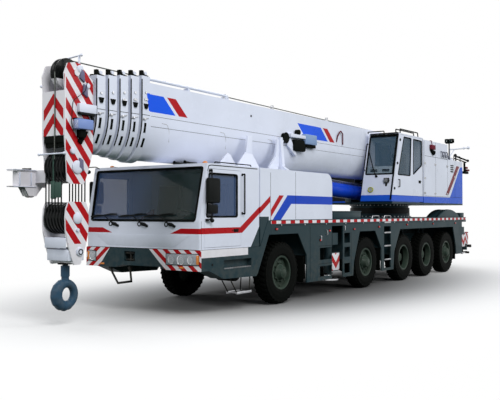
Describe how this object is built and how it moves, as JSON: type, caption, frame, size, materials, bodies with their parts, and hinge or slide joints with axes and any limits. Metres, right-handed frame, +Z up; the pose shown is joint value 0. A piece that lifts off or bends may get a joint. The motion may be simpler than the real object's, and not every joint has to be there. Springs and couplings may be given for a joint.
{
  "type": "mobile crane",
  "caption": "Five-axle truck crane with a driver's cab, outriggers, slewing superstructure, crane cab, telescoping boom and hook block.",
  "frame": {"origin": "ground level below the middle of the whole machine's length and width", "axes": "+X forward along the boom, +Y to the vehicle's left, +Z up"},
  "size_m": [16.23, 2.75, 4.2299],
  "materials": {
    "white_paint": "gloss white paint",
    "chassis_paint": "dark blue-grey paint",
    "blue_paint": "gloss blue paint",
    "black_steel": "black paint, greasy",
    "rim_paint": "satin dark green-grey paint",
    "hook_steel": "dark blue-grey painted forging",
    "chrome": "hard chrome plating",
    "tyre": "matt black",
    "trim": "matt dark grey",
    "glass": "dark tinted"
  },
  "bodies": {
    "carrier": {"chassis_frame": "chassis_paint", "carrier_deck": "chassis_paint", "axle_beams": "black_steel", "front_bumper": "chassis_paint", "driver_cab": "white_paint", "cab_windscreen": "glass", "cab_interior": "trim", "engine_hood": "white_paint", "boom_rest": "white_paint", "slewing_ring": "black_steel"},
    "superstructure": {"superstructure_frame": "blue_paint", "machine_covers": "white_paint", "hoist_winch": "black_steel", "crane_cab": "white_paint", "crane_cab_glass": "glass"},
    "crane_cab_door": {"crane_cab_door": "white_paint"},
    "cab_door_left": {"cab_door_left": "white_paint"},
    "outrigger_beam_front_left": {"outrigger_beam_front_left": "chassis_paint"},
    "outrigger_jack_front_left": {"outrigger_jack_front_left": "chrome"},
    "outrigger_beam_rear_left": {"outrigger_beam_rear_left": "chassis_paint"},
    "outrigger_jack_rear_left": {"outrigger_jack_rear_left": "chrome"},
    "wheel_1_left": {"rim_1_left": "rim_paint", "tyre_1_left": "tyre"},
    "knuckle_1_left": {"knuckle_1_left": "black_steel"},
    "wheel_2_left": {"rim_2_left": "rim_paint", "tyre_2_left": "tyre"},
    "knuckle_2_left": {"knuckle_2_left": "black_steel"},
    "wheel_3_left": {"rim_3_left": "rim_paint", "tyre_3_left": "tyre"},
    "wheel_4_left": {"rim_4_left": "rim_paint", "tyre_4_left": "tyre"},
    "wheel_5_left": {"rim_5_left": "rim_paint", "tyre_5_left": "tyre"},
    "cab_door_right": {"cab_door_right": "white_paint"},
    "outrigger_beam_front_right": {"outrigger_beam_front_right": "chassis_paint"},
    "outrigger_jack_front_right": {"outrigger_jack_front_right": "chrome"},
    "outrigger_beam_rear_right": {"outrigger_beam_rear_right": "chassis_paint"},
    "outrigger_jack_rear_right": {"outrigger_jack_rear_right": "chrome"},
    "wheel_1_right": {"rim_1_right": "rim_paint", "tyre_1_right": "tyre"},
    "knuckle_1_right": {"knuckle_1_right": "black_steel"},
    "wheel_2_right": {"rim_2_right": "rim_paint", "tyre_2_right": "tyre"},
    "knuckle_2_right": {"knuckle_2_right": "black_steel"},
    "wheel_3_right": {"rim_3_right": "rim_paint", "tyre_3_right": "tyre"},
    "wheel_4_right": {"rim_4_right": "rim_paint", "tyre_4_right": "tyre"},
    "wheel_5_right": {"rim_5_right": "rim_paint", "tyre_5_right": "tyre"},
    "lift_cylinder": {"lift_cylinder": "blue_paint"},
    "lift_rod": {"lift_rod": "chrome"},
    "boom_base": {"boom_base": "white_paint"},
    "boom_section_1": {"boom_section_1": "white_paint"},
    "boom_section_2": {"boom_section_2": "white_paint"},
    "boom_section_3": {"boom_section_3": "white_paint"},
    "boom_section_4": {"boom_section_4": "white_paint"},
    "boom_head": {"boom_head": "white_paint"},
    "hook_block": {"hook_block": "white_paint"},
    "hook": {"hook": "hook_steel"}
  },
  "joints": [
    {"name": "slew", "type": "hinge", "parent": "carrier", "child": "superstructure", "pos_m": [-4.215, 0, 1.83], "axis": [0, 0, 1], "continuous": true},
    {"name": "crane_cab_door_swing", "type": "hinge", "parent": "superstructure", "child": "crane_cab_door", "pos_m": [-4.134, 1.335, 2.241], "axis": [0, 0, 1], "range_deg": [0, 85]},
    {"name": "cab_door_swing_left", "type": "hinge", "parent": "carrier", "child": "cab_door_left", "pos_m": [5.669, 1.355, 1.19], "axis": [0, 0, -1], "range_deg": [0, 70]},
    {"name": "outrigger_out_front_left", "type": "slide", "parent": "carrier", "child": "outrigger_beam_front_left", "axis": [0, 1, 0], "range_m": [0, 1.75]},
    {"name": "jack_down_front_left", "type": "slide", "parent": "outrigger_beam_front_left", "child": "outrigger_jack_front_left", "axis": [0, 0, -1], "range_m": [0, 0.6]},
    {"name": "outrigger_out_rear_left", "type": "slide", "parent": "carrier", "child": "outrigger_beam_rear_left", "axis": [0, 1, 0], "range_m": [0, 1.75]},
    {"name": "jack_down_rear_left", "type": "slide", "parent": "outrigger_beam_rear_left", "child": "outrigger_jack_rear_left", "axis": [0, 0, -1], "range_m": [0, 0.6]},
    {"name": "steer_1_left", "type": "hinge", "parent": "carrier", "child": "knuckle_1_left", "pos_m": [3.185, 0.978, 0.613], "axis": [0, 0, 1], "range_deg": [-30, 30]},
    {"name": "wheel_spin_1_left", "type": "hinge", "parent": "knuckle_1_left", "child": "wheel_1_left", "pos_m": [3.185, 1.18, 0.613], "axis": [0, 1, 0], "continuous": true},
    {"name": "steer_2_left", "type": "hinge", "parent": "carrier", "child": "knuckle_2_left", "pos_m": [-0.565, 0.978, 0.613], "axis": [0, 0, 1], "range_deg": [-15, 15]},
    {"name": "wheel_spin_2_left", "type": "hinge", "parent": "knuckle_2_left", "child": "wheel_2_left", "pos_m": [-0.565, 1.18, 0.613], "axis": [0, 1, 0], "continuous": true},
    {"name": "wheel_spin_3_left", "type": "hinge", "parent": "carrier", "child": "wheel_3_left", "pos_m": [-2.835, 1.18, 0.613], "axis": [0, 1, 0], "continuous": true},
    {"name": "wheel_spin_4_left", "type": "hinge", "parent": "carrier", "child": "wheel_4_left", "pos_m": [-4.435, 1.18, 0.613], "axis": [0, 1, 0], "continuous": true},
    {"name": "wheel_spin_5_left", "type": "hinge", "parent": "carrier", "child": "wheel_5_left", "pos_m": [-6.035, 1.18, 0.613], "axis": [0, 1, 0], "continuous": true},
    {"name": "cab_door_swing_right", "type": "hinge", "parent": "carrier", "child": "cab_door_right", "pos_m": [5.669, -1.355, 1.19], "axis": [0, 0, 1], "range_deg": [0, 70]},
    {"name": "outrigger_out_front_right", "type": "slide", "parent": "carrier", "child": "outrigger_beam_front_right", "axis": [0, -1, 0], "range_m": [0, 1.75]},
    {"name": "jack_down_front_right", "type": "slide", "parent": "outrigger_beam_front_right", "child": "outrigger_jack_front_right", "axis": [0, 0, -1], "range_m": [0, 0.6]},
    {"name": "outrigger_out_rear_right", "type": "slide", "parent": "carrier", "child": "outrigger_beam_rear_right", "axis": [0, -1, 0], "range_m": [0, 1.75]},
    {"name": "jack_down_rear_right", "type": "slide", "parent": "outrigger_beam_rear_right", "child": "outrigger_jack_rear_right", "axis": [0, 0, -1], "range_m": [0, 0.6]},
    {"name": "steer_1_right", "type": "hinge", "parent": "carrier", "child": "knuckle_1_right", "pos_m": [3.185, -0.978, 0.613], "axis": [0, 0, 1], "range_deg": [-30, 30]},
    {"name": "wheel_spin_1_right", "type": "hinge", "parent": "knuckle_1_right", "child": "wheel_1_right", "pos_m": [3.185, -1.18, 0.613], "axis": [0, 1, 0], "continuous": true},
    {"name": "steer_2_right", "type": "hinge", "parent": "carrier", "child": "knuckle_2_right", "pos_m": [-0.565, -0.978, 0.613], "axis": [0, 0, 1], "range_deg": [-15, 15]},
    {"name": "wheel_spin_2_right", "type": "hinge", "parent": "knuckle_2_right", "child": "wheel_2_right", "pos_m": [-0.565, -1.18, 0.613], "axis": [0, 1, 0], "continuous": true},
    {"name": "wheel_spin_3_right", "type": "hinge", "parent": "carrier", "child": "wheel_3_right", "pos_m": [-2.835, -1.18, 0.613], "axis": [0, 1, 0], "continuous": true},
    {"name": "wheel_spin_4_right", "type": "hinge", "parent": "carrier", "child": "wheel_4_right", "pos_m": [-4.435, -1.18, 0.613], "axis": [0, 1, 0], "continuous": true},
    {"name": "wheel_spin_5_right", "type": "hinge", "parent": "carrier", "child": "wheel_5_right", "pos_m": [-6.035, -1.18, 0.613], "axis": [0, 1, 0], "continuous": true},
    {"name": "boom_luff", "type": "hinge", "parent": "superstructure", "child": "boom_base", "pos_m": [-6.115, 0, 3.45], "axis": [0, -1, 0], "range_deg": [0, 80]},
    {"name": "lift_cylinder_tilt", "type": "hinge", "parent": "superstructure", "child": "lift_cylinder", "pos_m": [-3.615, 0, 2.29], "axis": [0, -1, 0], "range_deg": [0, 89.92]},
    {"name": "lift_rod_out", "type": "slide", "parent": "lift_cylinder", "child": "lift_rod", "axis": [0.999, 0, 0.0444], "range_m": [0, 3.3898]},
    {"name": "telescope_1", "type": "slide", "parent": "boom_base", "child": "boom_section_1", "axis": [1, 0, 0], "range_m": [0, 8.8]},
    {"name": "telescope_2", "type": "slide", "parent": "boom_section_1", "child": "boom_section_2", "axis": [1, 0, 0], "range_m": [0, 8.8]},
    {"name": "telescope_3", "type": "slide", "parent": "boom_section_2", "child": "boom_section_3", "axis": [1, 0, 0], "range_m": [0, 8.8]},
    {"name": "telescope_4", "type": "slide", "parent": "boom_section_3", "child": "boom_section_4", "axis": [1, 0, 0], "range_m": [0, 8.8]},
    {"name": "telescope_5", "type": "slide", "parent": "boom_section_4", "child": "boom_head", "axis": [1, 0, 0], "range_m": [0, 8.8]},
    {"name": "hook_block_hang", "type": "hinge", "parent": "boom_head", "child": "hook_block", "pos_m": [7.49, 0, 2.5], "axis": [0, -1, 0], "range_deg": [-80, 0]},
    {"name": "hook_swivel", "type": "hinge", "parent": "hook_block", "child": "hook", "pos_m": [7.49, 0, 1], "axis": [0, 0, 1], "continuous": true}
  ],
  "couplings": [
    {"joint": "steer_1_right", "follows": "steer_1_left", "ratio": 1},
    {"joint": "steer_2_left", "follows": "steer_1_left", "ratio": 0.5},
    {"joint": "steer_2_right", "follows": "steer_1_left", "ratio": 0.5},
    {"joint": "lift_cylinder_tilt", "follows": "boom_luff", "ratio": 1.124},
    {"joint": "lift_rod_out", "follows": "boom_luff", "m_per_rad": 2.4278},
    {"joint": "telescope_2", "follows": "telescope_1", "ratio": 1},
    {"joint": "telescope_3", "follows": "telescope_1", "ratio": 1},
    {"joint": "telescope_4", "follows": "telescope_1", "ratio": 1},
    {"joint": "telescope_5", "follows": "telescope_1", "ratio": 1},
    {"joint": "hook_block_hang", "follows": "boom_luff", "ratio": -1}
  ]
}
